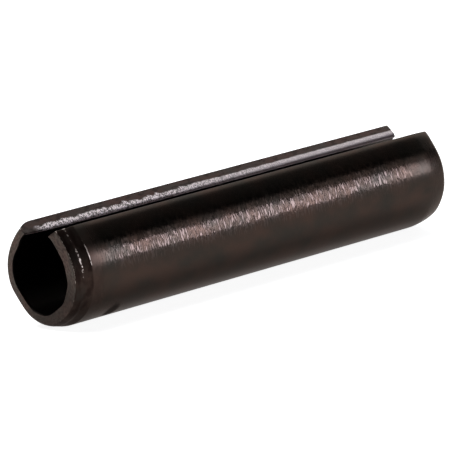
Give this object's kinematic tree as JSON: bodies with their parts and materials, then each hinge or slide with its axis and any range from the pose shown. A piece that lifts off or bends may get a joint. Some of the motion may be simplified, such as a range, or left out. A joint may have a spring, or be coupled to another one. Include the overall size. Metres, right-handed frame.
{
  "type": "slotted spring pin",
  "caption": "Slotted spring roll pin: a strip of spring steel rolled into a C, with a straight slot along it and a lead-in at each end, black oxide finish.",
  "frame": {"origin": "on the pin's axis, halfway along its length", "axes": "+X along the axis; +Z through the middle of the slot, which faces up as the pin lies"},
  "size_m": [0.05, 0.0104, 0.0099],
  "materials": {
    "spring_steel": "black oxide over rolled spring steel, oiled, with fine drawn scratches round the body"
  },
  "bodies": {
    "root": {"spring_roll_pin": "spring_steel"}
  },
  "joints": []
}
